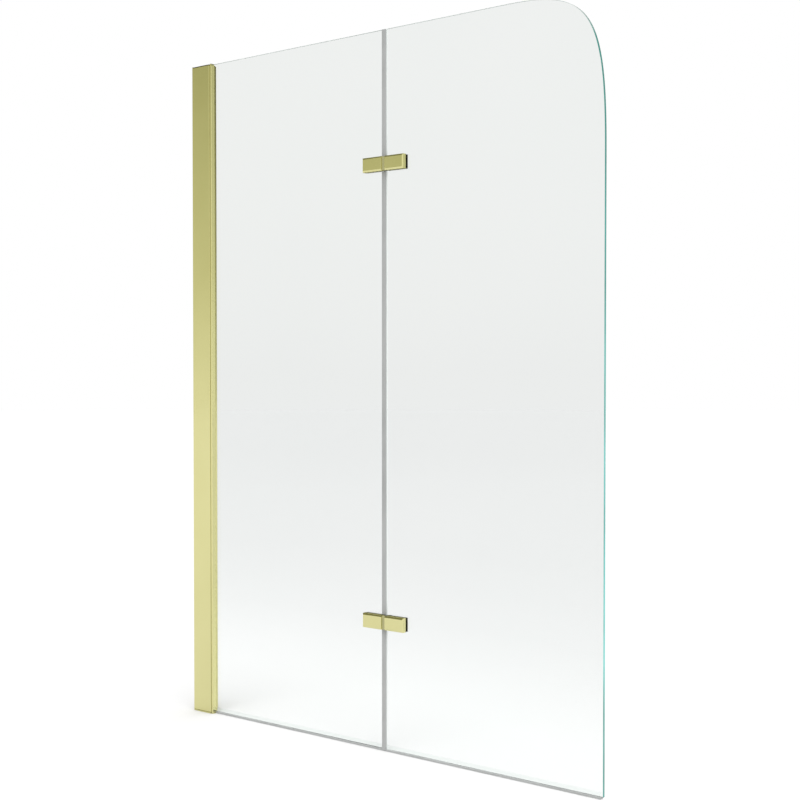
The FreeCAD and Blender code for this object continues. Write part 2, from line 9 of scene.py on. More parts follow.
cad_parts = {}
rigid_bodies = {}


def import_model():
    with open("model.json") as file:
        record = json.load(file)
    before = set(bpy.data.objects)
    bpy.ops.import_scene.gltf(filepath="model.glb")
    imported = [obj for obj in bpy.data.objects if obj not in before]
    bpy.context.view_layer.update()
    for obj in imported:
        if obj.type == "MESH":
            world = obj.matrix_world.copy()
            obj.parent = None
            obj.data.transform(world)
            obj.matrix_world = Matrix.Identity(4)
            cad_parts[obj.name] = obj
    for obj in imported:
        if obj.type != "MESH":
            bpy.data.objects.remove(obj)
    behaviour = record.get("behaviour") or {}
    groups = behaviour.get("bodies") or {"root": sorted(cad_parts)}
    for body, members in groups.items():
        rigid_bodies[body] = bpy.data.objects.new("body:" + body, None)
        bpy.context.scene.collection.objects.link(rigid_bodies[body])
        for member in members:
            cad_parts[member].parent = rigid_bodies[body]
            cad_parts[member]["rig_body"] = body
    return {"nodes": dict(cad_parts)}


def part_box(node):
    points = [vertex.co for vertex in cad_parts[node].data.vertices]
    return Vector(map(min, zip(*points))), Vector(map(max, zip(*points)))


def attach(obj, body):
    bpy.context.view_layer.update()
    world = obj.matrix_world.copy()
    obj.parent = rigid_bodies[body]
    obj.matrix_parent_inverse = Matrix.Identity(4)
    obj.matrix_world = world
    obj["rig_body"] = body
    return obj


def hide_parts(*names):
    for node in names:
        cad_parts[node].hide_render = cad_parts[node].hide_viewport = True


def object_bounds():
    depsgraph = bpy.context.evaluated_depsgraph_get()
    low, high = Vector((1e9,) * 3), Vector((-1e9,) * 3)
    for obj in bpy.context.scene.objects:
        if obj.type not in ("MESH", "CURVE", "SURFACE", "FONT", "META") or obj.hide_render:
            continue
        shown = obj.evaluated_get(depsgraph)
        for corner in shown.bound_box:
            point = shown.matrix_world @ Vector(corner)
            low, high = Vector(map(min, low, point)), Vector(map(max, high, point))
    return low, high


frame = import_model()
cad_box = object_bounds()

bl_info = {
    "name": "Folding bath screen",
    "version": (1, 0, 0),
    "blender": (4, 5, 0),
    "location": "View3D > Sidebar > Bath screen",
    "description": "Dresses a folding glass bath screen in glass, gold, rubber and seals",
    "category": "Object",
}

HINGES = ("lower", "upper")
LEAVES = {"fixed": "fixed_panel", "folding": "folding_panel"}

# Distance in metres within which points are welded
WELD = 1e-6

# Angles in degrees: edges that stay sharp, and facets that count as one flat face
SHARP_ANGLE = 32
SEAL_SHARP_ANGLE = 40
SOLID_FLAT_ANGLE = 0.4
PANE_FLAT_ANGLE = 0.05

# Part of a face's normal that tells a plate's end, a pane's side and a pane's edge
END_PART = 0.95
SIDE_PART = 0.999
EDGE_PART = 0.3

# Steps and points of the rounded forms
ROUNDING_STEPS = 3
ARRIS_STEPS = 2
CORNER_STEPS = 4
HOLE_POINTS = 36
LIP_POINTS = 9
LIP_TIP_STEPS = 6
FLOOR_POINTS = 96

# Noise of the finishes, in waves per metre along x, y and z
PROFILE_GRAIN = (1400, 1400, 5)
HINGE_GRAIN = (18, 900, 900)
END_FACE_GRAIN = (900, 900, 900)
CAP_GRAIN = (260, 260, 260)
GOLD_CLOUD = (9, 9, 9)
GLASS_CLOUD = (2.2, 2.2, 2.2)
EDGE_BANDS = (5.0, 60.0, 3.6)
EDGE_GRIND = (900, 900, 900)
PALE_EDGE_GRIND = (300, 300, 300)
SEAL_CLOUD = (14, 140, 14)
SEAL_SKIN = (700, 700, 700)
CLIP_SKIN = (30, 400, 400)
RUBBER_BLOOM = (60, 60, 60)
RUBBER_SKIN = (1500, 1500, 1500)
NYLON_CLOUD = (120, 120, 120)
STEEL_MARKS = (500, 500, 3000)

# Values of the noise between which one tone gives way to the other
GRAIN_SPAN = (0.3, 0.7)
GOLD_CLOUD_SPAN = (0.35, 0.75)
GLASS_CLOUD_SPAN = (0.35, 0.65)
EDGE_BAND_SPAN = (0.34, 0.64)
SOFT_CLOUD_SPAN = (0.4, 0.8)

# Depth in metres of the fine relief
RELIEF_DEPTH = 0.0001

GLASS_IOR = 1.5
CLIP_IOR = 1.12

# Ramps of the stage: place, tone and share of blue. The floor runs from near to far, and the
# others run over the sine of the elevation, from straight down at 0 to straight up at 1.
# The floor's ramp is painted shade: through the glass the floor fades darker with distance.
FLOOR_TONES = (
    (0.0, 0.945, 1),
    (0.023, 0.92, 1),
    (0.051, 0.882, 1),
    (0.081, 0.848, 1),
    (0.144, 0.817, 1),
    (0.233, 0.795, 1),
    (0.454, 0.786, 1),
    (1.0, 0.775, 1),
)
METAL_TONES = (
    (0.475, 0.945, 1),
    (0.489, 0.906, 0.95),
    (0.528, 0.755, 0.86),
    (0.566, 0.633, 0.8),
    (0.603, 0.525, 0.76),
    (0.613, 0.491, 0.75),
    (0.67, 0.36, 0.7),
    (0.8, 0.22, 0.62),
    (1.0, 0.26, 0.7),
)
REAR_TONES = (
    (0.47, 0.86, 1),
    (0.49, 0.72, 0.95),
    (0.508, 0.59, 0.92),
    (0.526, 0.49, 0.9),
    (0.544, 0.4, 0.88),
    (0.578, 0.26, 0.84),
    (0.612, 0.18, 0.8),
    (1.0, 0.15, 0.8),
)
GLASS_TONES = (
    (0.5, 0.868, 1),
    (0.529, 0.893, 1),
    (0.567, 0.911, 1),
    (0.61, 0.922, 1),
    (1.0, 0.95, 1),
)
GLASS_RIGHT_TONES = (
    (0.45, 1.0, 1),
    (0.5, 0.9, 0.95),
    (0.567, 0.7, 0.88),
    (0.62, 0.58, 0.85),
    (1.0, 0.7, 0.9),
)

# Way to the lit panel, and parts of a direction between which each field of the studio begins
SOFTBOX_WAY = (0.72, -0.69, 0.0)
SOFTBOX_SPAN = (0.6, 0.88)
REAR_SPAN = (0.2, 0.5)
RIGHT_SPAN = (-0.1, 0.3)

# Width in mm of the camera's sensor
SENSOR_WIDTH = 36


def length(name, description, default):
    return FloatProperty(
        name=name, description=description, default=default, min=0, unit="LENGTH", precision=5
    )


def share(name, description, default):
    return FloatProperty(
        name=name, description=description, default=default, min=0, max=1, subtype="FACTOR"
    )


def span(name, description, default, **kind):
    return FloatVectorProperty(name=name, description=description, default=default, size=2, **kind)


def heights(name, description, default):
    return span(name, description, default, unit="LENGTH")


def gloss(name, description, default):
    return span(name, description, default, min=0, max=1)


def spot(name, description, default):
    return FloatVectorProperty(
        name=name,
        description=description,
        default=default,
        size=3,
        subtype="TRANSLATION",
        unit="LENGTH",
    )


def level(name, description, default):
    return FloatProperty(name=name, description=description, default=default, min=0, max=4)


def angle(name, description, default):
    return FloatProperty(
        name=name, description=description, default=math.radians(default), subtype="ANGLE"
    )


def colour(name, description, default):
    return FloatVectorProperty(
        name=name,
        description=description,
        default=default,
        min=0,
        max=1,
        size=3,
        subtype="COLOR",
    )


class ScreenSizes(bpy.types.PropertyGroup):
    """Sizes of the pieces that are finished finer than the solids"""

    corner_run_top: length("Corner along the top", "Where the soft corner leaves the top edge", 0.2)
    corner_run_side: length("Corner down the side", "Where the soft corner leaves the side", 0.28)
    corner_pull: share("Corner pull", "How far the curve is pulled towards the corner", 0.85)
    corner_steps: IntProperty(
        name="Corner steps", description="Points along the soft corner", default=72, min=8
    )
    arris: length("Arris", "Radius of the ground edges of the glass", 0.0006)
    hole_clearance: length("Hole clearance", "Gap between a sleeve and its hole", 0.0002)
    channel_edge: length("Channel edge", "Rounding of the wall channel's long edges", 0.0006)
    channel_mouth: length("Channel mouth", "Rounding of its mouth on the room side", 0.0012)
    plate_edge: length("Plate edge", "Rounding of the hinge plates' edges", 0.0003)
    plate_edge_run: length("Plate edge run", "Shortest edge of a plate that is rounded", 0.004)
    seal_wall: length("Seal wall", "Thickness of the clip on the glass", 0.0009)
    seal_gap: length("Seal gap", "Gap between the base of the seal and the glass", 0.00005)
    seal_edge: length("Seal edge", "Rounding of the edges of clip and base", 0.0003)
    lip_drop: length("Lip drop", "Height of the soft lips under the glass", 0.0026)
    lip_root: length("Lip root", "Distance of a lip's root from the mid-plane", 0.003)
    lip_tip: length("Lip tip", "Distance of a lip's tip from the mid-plane", 0.0033)
    lip_wall: length("Lip wall", "Thickness of a lip at its root", 0.0009)
    lip_rise: share("Lip rise", "Part of a lip's wall that its root stands in the base", 0.25)
    lip_tip_part: share("Lip tip part", "Radius of a lip's tip as part of its wall", 0.36)
    lip_knee: share("Lip knee", "Height of a lip's knee between its tip and its root", 0.35)
    lip_pull: share("Lip pull", "How far a lip runs straight towards its knee", 0.7)


class ScreenFinishes(bpy.types.PropertyGroup):
    """Colours and gloss of the finishes"""

    gold: colour("Gold", "Polished gold of the profile and hinges", (0.77, 0.735, 0.37))
    gold_shade: colour("Gold shade", "Deeper gold in the clouding", (0.735, 0.7, 0.34))
    # Painted shade: a darker gold, with the weaker sheen further down, for the top and bottom faces
    # of the front hinge plates; its second tone follows the clouding.
    gold_sawn: colour("Sawn gold", "Sawn ends of the hinge plates", (0.36, 0.34, 0.15))
    gold_sawn_shade: colour("Sawn gold shade", "Saw marks on the ends", (0.28, 0.265, 0.11))
    # Painted shade: the channel's top lid takes a dark, brownish gold with a weak sheen, which draws
    # a dark line along the top of the profile.
    gold_lid: colour("Gold lid", "Dull gold of the lid on the channel", (0.2, 0.19, 0.11))
    gold_lid_shade: colour("Gold lid shade", "Deeper gold of the lid", (0.16, 0.15, 0.085))
    gold_lid_sheen: colour("Gold lid sheen", "The lid seen at a low angle", (0.6, 0.58, 0.4))
    gold_sheen: colour("Gold sheen", "Polished gold seen at a low angle", (1.0, 1.0, 1.0))
    # Painted shade: the weaker sheen of the hinge plates' darkened top and bottom faces.
    gold_sawn_sheen: colour("Sawn gold sheen", "Sawn gold seen at a low angle", (0.6, 0.58, 0.4))
    gold_gloss: gloss("Gold gloss", "Roughness of the best polish and in the grain", (0.07, 0.15))
    glass: colour("Glass", "Tint of the panes", (0.955, 0.972, 0.965))
    glass_shade: colour("Glass shade", "Deeper tint of the panes", (0.945, 0.966, 0.958))
    edge_dark: colour("Edge dark", "Darkest bands of the glass edges", (0.07, 0.26, 0.22))
    edge_light: colour("Edge light", "Lightest bands of the glass edges", (0.3, 0.95, 0.9))
    # Painted light: the upper edges of the panes turn to this paler grey.
    edge_top: colour("Edge top", "Upper edges of the panes", (0.52, 0.58, 0.56))
    edge_pale: colour("Edge pale", "Matt edge beside the upright seal", (0.9, 0.94, 0.925))
    edge_pale_shade: colour("Edge pale shade", "Grinding of that edge", (0.84, 0.9, 0.88))
    edge_gloss: gloss("Edge gloss", "Roughness of the ground edges", (0.08, 0.2))
    edge_pale_gloss: gloss("Edge pale gloss", "Roughness of the matt edge", (0.5, 0.7))
    # Painted shade: the glass edges darken upwards, and the free edge darkens towards its foot.
    edge_run: heights("Edge run", "Where the glass edges darken upwards", (0.3, 1.05))
    edge_run_dark: share("Edge run dark", "How far the glass edges darken upwards", 0.85)
    edge_crown: heights("Edge crown", "Where the edges turn to their upper colour", (1.315, 1.375))
    edge_foot: heights("Edge foot", "Where the free edge darkens downwards", (0.06, 0.2))
    edge_foot_dark: share("Edge foot dark", "How far the free edge darkens downwards", 0.7)
    seal: colour("Seal", "Grey of the upright seal", (0.40, 0.41, 0.405))
    seal_shade: colour("Seal shade", "Deeper grey of the seals", (0.33, 0.34, 0.335))
    # Painted light: the lips take a paler grey than the upright seal, which makes up for the shade
    # they stand in under the base.
    lip: colour("Lip", "Grey of the bottom seals' lips", (0.47, 0.48, 0.475))
    lip_shade: colour("Lip shade", "Deeper grey of the lips", (0.42, 0.43, 0.425))
    # Painted shade: the olive, half-metal strips in the hinges' seams take the tone of the shaded gap
    # between the plates.
    seam: colour("Seam", "Olive of the strips in the hinges' seams", (0.5, 0.48, 0.24))
    seam_shade: colour("Seam shade", "Deeper olive of those strips", (0.44, 0.42, 0.205))
    seam_metal: share("Seam metal", "How far those strips are metallised", 0.5)
    seal_gloss: gloss("Seal gloss", "Roughness of the soft strips' skin", (0.38, 0.55))
    clip: colour("Clip", "Tint of the clear clips", (0.96, 0.97, 0.965))
    clip_gloss: gloss("Clip gloss", "Roughness of the clear clips", (0.03, 0.1))
    rubber: colour("Rubber", "Black of the gaskets", (0.004, 0.004, 0.004))
    rubber_bloom: colour("Rubber bloom", "Paler bloom on the gaskets", (0.009, 0.009, 0.008))
    rubber_gloss: gloss("Rubber gloss", "Roughness of the gaskets", (0.6, 0.8))
    nylon: colour("Nylon", "White of blocks, sleeves and bushes", (0.78, 0.77, 0.74))
    nylon_shade: colour("Nylon shade", "Deeper white of the nylon", (0.68, 0.67, 0.63))
    nylon_gloss: gloss("Nylon gloss", "Roughness of the nylon", (0.35, 0.5))
    steel: colour("Steel", "Screws, washers and pins", (0.58, 0.57, 0.55))
    steel_shade: colour("Steel shade", "Turning marks of the steel", (0.42, 0.41, 0.40))
    steel_gloss: gloss("Steel gloss", "Roughness of the steel", (0.2, 0.38))


class ScreenStudio(bpy.types.PropertyGroup):
    """Floor, light and camera"""

    floor_radius: length("Floor radius", "Radius of the round floor", 24.0)
    floor_drop: length("Floor drop", "Gap under the seals", 0.0004)
    floor: colour("Floor", "Pale floor", (0.945, 0.945, 0.945))
    # Painted shade: the metal shows the floor darker at the foot and in front, the glass shows it
    # fading with distance; the camera sees it evenly pale.
    floor_foot: colour("Floor foot", "Floor at the foot, as the metal shows it", (0.83, 0.83, 0.83))
    floor_front: colour("Floor front", "Floor in front, as the metal shows it", (0.875, 0.875, 0.875))
    foot_start: length("Foot start", "Distance at which the floor's foot ends", 0.6)
    foot_end: length("Foot end", "Distance at which the floor's front begins", 3.0)
    fade_from: spot("Fade from", "Point from which the floor fades away", (-0.75, -3.0, 0.0))
    fade_start: length("Fade start", "Distance at which the floor begins to fade", 3.4)
    fade_end: length("Fade end", "Distance at which the floor has faded", 12.0)
    room_light: level("Room light", "Even light from all round", 0.75)
    softbox: colour("Softbox", "Lit panel by the camera, as the metal shows it", (0.96, 0.96, 0.92))
    lamp_strength: level("Lamp strength", "Strength of the broad lamp", 1.4)
    lamp_spread: angle("Lamp spread", "Softness of the lamp's shadows", 60)
    lamp_way: FloatVectorProperty(
        name="Lamp way",
        description="Direction in which the lamp shines",
        default=(-0.35, 0.45, -0.82),
        size=3,
        subtype="DIRECTION",
    )
    camera_place: spot("Camera place", "Where the camera stands", (2.0696, -1.9763, 0.7354))
    camera_turn: angle("Camera turn", "Turn of the view to the left", 37.438)
    camera_dip: angle("Camera dip", "Tilt of the view downwards", 1.161)
    camera_lens: FloatProperty(
        name="Camera lens", description="Focal length in mm", default=58.185, min=1
    )


# Node trees


def add_node(tree, kind, inputs=None, **settings):
    """New node with its settings and with values or links on its inputs."""
    made = tree.nodes.new(kind)
    for name, value in settings.items():
        setattr(made, name, value)
    for name, value in (inputs or {}).items():
        if isinstance(value, bpy.types.NodeSocket):
            tree.links.new(value, made.inputs[name])
        else:
            made.inputs[name].default_value = value
    return made


def rgba(values):
    return (*values, 1.0)


def blended(tree, factor, first, second):
    """Colour socket between two colours or sockets."""
    mix = add_node(tree, "ShaderNodeMix", {0: factor, 6: first, 7: second}, data_type="RGBA")
    return mix.outputs[2]


def ranged(tree, value, low, high, source=(0.0, 1.0)):
    """Value socket stretched from one range to another."""
    mapped = add_node(
        tree,
        "ShaderNodeMapRange",
        {"Value": value, "From Min": source[0], "From Max": source[1], "To Min": low, "To Max": high},
    )
    return mapped.outputs["Result"]


def object_noise(tree, waves, detail):
    """Noise that stays on the piece, with its own waves along each axis."""
    place = add_node(tree, "ShaderNodeTexCoord").outputs["Object"]
    stretched = add_node(tree, "ShaderNodeMapping", {"Vector": place, "Scale": waves})
    noise = add_node(
        tree,
        "ShaderNodeTexNoise",
        {"Vector": stretched.outputs["Vector"], "Scale": 1.0, "Detail": detail},
    )
    return noise.outputs["Fac"]


def clouded(tree, noise, bounds, first, second):
    """Colour socket that turns from one tone to another between two values of the noise."""
    return blended(tree, ranged(tree, noise, 0, 1, bounds), rgba(first), rgba(second))


def bumped(tree, height, strength):
    bump = add_node(
        tree, "ShaderNodeBump", {"Height": height, "Strength": strength, "Distance": RELIEF_DEPTH}
    )
    return bump.outputs["Normal"]


def new_finish(name, build):
    """Material whose principled shader takes the inputs that build returns."""
    found = bpy.data.materials.get(name)
    if found:
        return found
    made = bpy.data.materials.new(name)
    made.use_nodes = True
    tree = made.node_tree
    tree.nodes.clear()
    shader = add_node(tree, "ShaderNodeBsdfPrincipled", build(tree))
    add_node(tree, "ShaderNodeOutputMaterial", {"Surface": shader.outputs["BSDF"]})
    return made


def polished_gold(name, grain, base="gold"):
    """Gold metal with a fine grain and a faint clouding."""
    tones = bpy.context.scene.screen_finishes
    light, deep, sheen = (getattr(tones, base + kind) for kind in ("", "_shade", "_sheen"))

    def build(tree):
        lines = object_noise(tree, grain, detail=2.0)
        cloud = object_noise(tree, GOLD_CLOUD, detail=4.0)
        return {
            "Base Color": clouded(tree, cloud, GOLD_CLOUD_SPAN, light, deep),
            "Metallic": 1.0,
            "Specular Tint": rgba(sheen),
            "Roughness": ranged(tree, lines, *tones.gold_gloss, GRAIN_SPAN),
            "Normal": bumped(tree, lines, strength=0.04),
        }

    return new_finish(name, build)


def profile_gold():
    return polished_gold("polished_gold_profile", PROFILE_GRAIN)


def hinge_gold():
    return polished_gold("polished_gold_hinge", HINGE_GRAIN)


# Painted shade: darker gold for the top and bottom faces of the front hinge plates.
def end_face_painted_shade_gold():
    return polished_gold("gold_ends_painted_shade", END_FACE_GRAIN, "gold_sawn")


# Painted shade: dark gold for the channel's top lid.
def lid_gold():
    return polished_gold("gold_lid_painted_shade", CAP_GRAIN, "gold_lid")


def cap_gold():
    return polished_gold("polished_gold_cap", CAP_GRAIN)


def clear_glass():
    tones = bpy.context.scene.screen_finishes

    def build(tree):
        cloud = object_noise(tree, GLASS_CLOUD, detail=3.0)
        return {
            "Base Color": clouded(tree, cloud, GLASS_CLOUD_SPAN, tones.glass, tones.glass_shade),
            "Roughness": 0.0,
            "IOR": GLASS_IOR,
            "Transmission Weight": 1.0,
        }

    return new_finish("pane_glass", build)


def ground_glass_edge():
    """Teal of light that has run inside the glass, in bands along the edge."""
    tones = bpy.context.scene.screen_finishes

    def build(tree):
        dark = rgba(tones.edge_dark)
        bands = object_noise(tree, EDGE_BANDS, detail=4.0)
        grind = object_noise(tree, EDGE_GRIND, detail=1.0)
        place = add_node(tree, "ShaderNodeTexCoord").outputs["Object"]
        height = add_node(tree, "ShaderNodeSeparateXYZ", {"Vector": place}).outputs["Z"]
        # Painted shade: darker upwards and at the foot of the free edge; painted light on the upper
        # edges.
        upwards = ranged(tree, height, 0, tones.edge_run_dark, tones.edge_run)
        crown = ranged(tree, height, 0, 1, tones.edge_crown)
        foot = ranged(tree, height, tones.edge_foot_dark, 0, tones.edge_foot)
        tint = clouded(tree, bands, EDGE_BAND_SPAN, tones.edge_dark, tones.edge_light)
        tint = blended(tree, upwards, tint, dark)
        tint = blended(tree, crown, tint, rgba(tones.edge_top))
        return {
            "Base Color": blended(tree, foot, tint, dark),
            "Roughness": ranged(tree, grind, *tones.edge_gloss),
            "IOR": GLASS_IOR,
        }

    return new_finish("ground_glass_edge", build)


def pale_glass_edge():
    """Matt ground edge in the shelter of the upright seal."""
    tones = bpy.context.scene.screen_finishes

    def build(tree):
        grind = object_noise(tree, PALE_EDGE_GRIND, detail=3.0)
        return {
            "Base Color": blended(tree, grind, rgba(tones.edge_pale), rgba(tones.edge_pale_shade)),
            "Roughness": ranged(tree, grind, *tones.edge_pale_gloss),
            "Specular IOR Level": 0.1,
        }

    return new_finish("pale_glass_edge", build)


def soft_seal(name, base, metal=0.0):
    """Soft plastic with a faint clouding and a fine skin, plain or metallised."""
    tones = bpy.context.scene.screen_finishes
    light, deep = (getattr(tones, base + kind) for kind in ("", "_shade"))

    def build(tree):
        cloud = object_noise(tree, SEAL_CLOUD, detail=4.0)
        skin = object_noise(tree, SEAL_SKIN, detail=2.0)
        return {
            "Base Color": clouded(tree, cloud, SOFT_CLOUD_SPAN, light, deep),
            "Metallic": metal,
            "Roughness": ranged(tree, skin, *tones.seal_gloss),
            "Normal": bumped(tree, skin, strength=0.08),
        }

    return new_finish(name, build)


def grey_seal():
    return soft_seal("soft_grey_seal", "seal")


# Painted light: a paler grey than the upright seal, against the lips' shade.
def lip_seal():
    return soft_seal("soft_grey_lip", "lip")


# Painted shade: an olive, half-metal strip in the tone of the shaded seam.
def seam_seal():
    tones = bpy.context.scene.screen_finishes
    return soft_seal("soft_olive_seam_painted_shade", "seam", tones.seam_metal)


def clear_clip():
    tones = bpy.context.scene.screen_finishes

    def build(tree):
        skin = object_noise(tree, CLIP_SKIN, detail=2.0)
        return {
            "Base Color": blended(tree, skin, rgba(tones.clip), rgba(tones.glass)),
            "Roughness": ranged(tree, skin, *tones.clip_gloss),
            "IOR": CLIP_IOR,
            "Transmission Weight": 1.0,
        }

    return new_finish("clear_clip", build)


def black_rubber():
    tones = bpy.context.scene.screen_finishes

    def build(tree):
        bloom = object_noise(tree, RUBBER_BLOOM, detail=4.0)
        skin = object_noise(tree, RUBBER_SKIN, detail=2.0)
        return {
            "Base Color": clouded(tree, bloom, SOFT_CLOUD_SPAN, tones.rubber, tones.rubber_bloom),
            "Roughness": ranged(tree, skin, *tones.rubber_gloss),
            "Specular IOR Level": 0.04,
            "Normal": bumped(tree, skin, strength=0.15),
        }

    return new_finish("moulded_black_rubber", build)


def white_nylon():
    tones = bpy.context.scene.screen_finishes

    def build(tree):
        cloud = object_noise(tree, NYLON_CLOUD, detail=4.0)
        return {
            "Base Color": clouded(tree, cloud, SOFT_CLOUD_SPAN, tones.nylon, tones.nylon_shade),
            "Roughness": ranged(tree, cloud, *tones.nylon_gloss),
        }

    return new_finish("moulded_white_nylon", build)


def turned_steel():
    tones = bpy.context.scene.screen_finishes

    def build(tree):
        marks = object_noise(tree, STEEL_MARKS, detail=2.0)
        return {
            "Base Color": blended(tree, marks, rgba(tones.steel), rgba(tones.steel_shade)),
            "Metallic": 1.0,
            "Roughness": ranged(tree, marks, *tones.steel_gloss),
            "Normal": bumped(tree, marks, strength=0.06),
        }

    return new_finish("turned_steel", build)


# Pieces


def body_of_node(node):
    return frame["nodes"][node]["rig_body"]


def dress(material, *nodes):
    """Gives carried-over solids their finish."""
    for node in nodes:
        for slot in frame["nodes"][node].material_slots:
            slot.material = material


def smoothed(mesh, degrees=SHARP_ANGLE):
    """Smooth shading with sharp edges kept."""
    mesh.shade_smooth()
    mesh.set_sharp_from_angle(angle=math.radians(degrees))


def new_piece(name, mesh, materials, body, slot, *nodes):
    """Piece that rides on a body and stands for its solids."""
    for material in materials:
        mesh.materials.append(material)
    piece = bpy.data.objects.new(name, mesh)
    bpy.context.scene.collection.objects.link(piece)
    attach(piece, body)
    if nodes:
        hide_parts(*nodes)
    return piece


def joined(form, flat_angle):
    """Welds the points of a mesh in the making and joins its facets into flat faces."""
    bmesh.ops.remove_doubles(form, verts=form.verts, dist=WELD)
    bmesh.ops.dissolve_limit(
        form, angle_limit=math.radians(flat_angle), verts=form.verts, edges=form.edges
    )


def eased(node, radius, weigh, slot, material, end_material=None):
    """The node's solid again, with edges rounded by their weight and its own finish on the ends."""
    form = bmesh.new()
    form.from_mesh(frame["nodes"][node].data)
    joined(form, SOLID_FLAT_ANGLE)
    weights = form.edges.layers.float.new("bevel_weight_edge")
    for edge in form.edges:
        if edge.is_convex and edge.calc_face_angle(0) > math.radians(SHARP_ANGLE):
            edge[weights] = weigh(edge)
    mesh = bpy.data.meshes.new(node + "_eased")
    form.to_mesh(mesh)
    form.free()
    for name in [a.name for a in mesh.attributes if a.name.startswith("custom_normal")]:
        mesh.attributes.remove(mesh.attributes[name])
    smoothed(mesh)
    # Faces that look up or down take the second finish, on the hinge plates a painted shade.
    for face in mesh.polygons:
        face.material_index = 1 if end_material and abs(face.normal.z) > END_PART else 0
    materials = [material, end_material] if end_material else [material]
    piece = new_piece(node + "_eased", mesh, materials, body_of_node(node), slot, node)
    rounding = piece.modifiers.new("eased edges", "BEVEL")
    rounding.width = radius
    rounding.segments = ROUNDING_STEPS
    rounding.limit_method = "WEIGHT"
    rounding.harden_normals = True


def swept(name, sections, x_low, x_high):
    """Mesh of closed y-z outlines drawn out along x."""
    form = bmesh.new()
    for outline in sections:
        near, far = (
            [form.verts.new((x, y, z)) for y, z in outline] for x in (x_low, x_high)
        )
        form.faces.new(near)
        form.faces.new(reversed(far))
        for index in range(len(outline)):
            after = (index + 1) % len(outline)
            form.faces.new((near[index], far[index], far[after], near[after]))
    bmesh.ops.recalc_face_normals(form, faces=form.faces)
    mesh = bpy.data.meshes.new(name)
    form.to_mesh(mesh)
    form.free()
    smoothed(mesh, SEAL_SHARP_ANGLE)
    return mesh


def arc(centre, radius, start, end, steps):
    """Points of an arc in a plane, angles in degrees."""
    turns = [math.radians(start + (end - start) * i / steps) for i in range(steps + 1)]
    return [
        (centre[0] + radius * math.cos(t), centre[1] + radius * math.sin(t)) for t in turns
    ]


def rounded_outline(low, high, radius):
    """Rectangle with round corners."""
    corners = (
        ((high[0] - radius, high[1] - radius), 0),
        ((low[0] + radius, high[1] - radius), 90),
        ((low[0] + radius, low[1] + radius), 180),
        ((high[0] - radius, low[1] + radius), 270),
    )
    points = []
    for centre, start in corners:
        points += arc(centre, radius, start, start + 90, CORNER_STEPS)
    return points


def hole_centres(node):
    """Centres of the two sleeves in a node, and the radius of one."""
    low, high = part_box(node)
    radius = (high.z - low.z) / 2
    height = (high.z + low.z) / 2
    return [(low.x + radius, height), (high.x - radius, height)], radius


def pane_mesh(name, outline, leaf):
    """Pane inside an x-z outline, with ground edges and the holes for its hinges."""
    sizes = bpy.context.scene.screen_sizes
    low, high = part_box(leaf + "_glass")
    half = (high.y - low.y) / 2
    loops = [outline]
    for hinge in HINGES:
        centres, radius = hole_centres(f"{hinge}_{leaf}_glass_sleeves")
        for centre in centres:
            wide = radius + sizes.hole_clearance
            loops.append(arc(centre, wide, 360, 360 / HOLE_POINTS, HOLE_POINTS - 1))
    curve = bpy.data.curves.new(name, "CURVE")
    curve.dimensions = "2D"
    curve.fill_mode = "BOTH"
    curve.extrude = half - sizes.arris
    curve.bevel_depth = sizes.arris
    curve.bevel_resolution = ARRIS_STEPS
    curve.offset = -sizes.arris
    for loop in loops:
        spline = curve.splines.new("POLY")
        spline.points.add(len(loop) - 1)
        for point, (x, z) in zip(spline.points, loop):
            point.co = (x, z, 0, 1)
        spline.use_cyclic_u = True
    drawn = bpy.data.objects.new(name, curve)
    mesh = bpy.data.meshes.new_from_object(drawn)
    bpy.data.objects.remove(drawn)
    bpy.data.curves.remove(curve)
    mesh.transform(Matrix.Rotation(math.radians(90), 4, "X"))
    form = bmesh.new()
    form.from_mesh(mesh)
    joined(form, PANE_FLAT_ANGLE)
    bmesh.ops.recalc_face_normals(form, faces=form.faces)
    form.to_mesh(mesh)
    form.free()
    smoothed(mesh)
    folding = leaf == "folding"
    free = Vector((folding, 0, 1))
    for face in mesh.polygons:
        if abs(face.normal.y) > SIDE_PART:
            face.use_smooth = False
        elif face.normal.dot(free) > EDGE_PART:
            face.material_index = 1
        elif folding and face.normal.x < -EDGE_PART and face.center.x < low.x + sizes.arris:
            face.material_index = 2
    return mesh


# Operators


class DressProfile(bpy.types.Operator):
    """Finish the wall channel, the glazing profile and their caps in polished gold, the channel's top
    lid in a dark gold that paints shade
    """

    bl_idname = "bath_screen.dress_profile"
    bl_label = "Wall profile"

    def execute(self, context):
        sizes = context.scene.screen_sizes
        low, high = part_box("wall_channel")

        def weigh(edge):
            """Weight of the long edges, with most rounding beside the glazing head."""
            start, end = (v.co for v in edge.verts)
            if abs(end.z - start.z) < (high.z - low.z) / 2:
                return 0
            if start.x > high.x - sizes.channel_edge and start.y < 0:
                return start.y < low.y + sizes.channel_mouth
            return sizes.channel_edge / sizes.channel_mouth

        eased("wall_channel", sizes.channel_mouth, weigh, "gold_profile", profile_gold())
        dress(profile_gold(), "glazing_profile")
        # The top lid's dark gold is painted shade.
        dress(lid_gold(), "channel_top_cap")
        dress(cap_gold(), "channel_bottom_cap", "glazing_top_cap", "glazing_bottom_cap")
        return {"FINISHED"}


class DressGlazing(bpy.types.Operator):
    """Finish the soft strips and nylon blocks that hold the fixed pane in its profile"""

    bl_idname = "bath_screen.dress_glazing"
    bl_label = "Glazing gaskets and blocks"

    def execute(self, context):
        dress(cap_gold(), "glazing_gasket_room", "glazing_gasket_bath")
        dress(white_nylon(), "glass_edge_blocks", "glass_setting_block")
        return {"FINISHED"}


class DressAdjusters(bpy.types.Operator):
    """Finish the adjusting screws, their washers and their covers"""

    bl_idname = "bath_screen.dress_adjusters"
    bl_label = "Adjusting screws"

    def execute(self, context):
        dress(turned_steel(), "adjusting_screws", "adjusting_washers")
        dress(cap_gold(), "adjusting_covers")
        return {"FINISHED"}


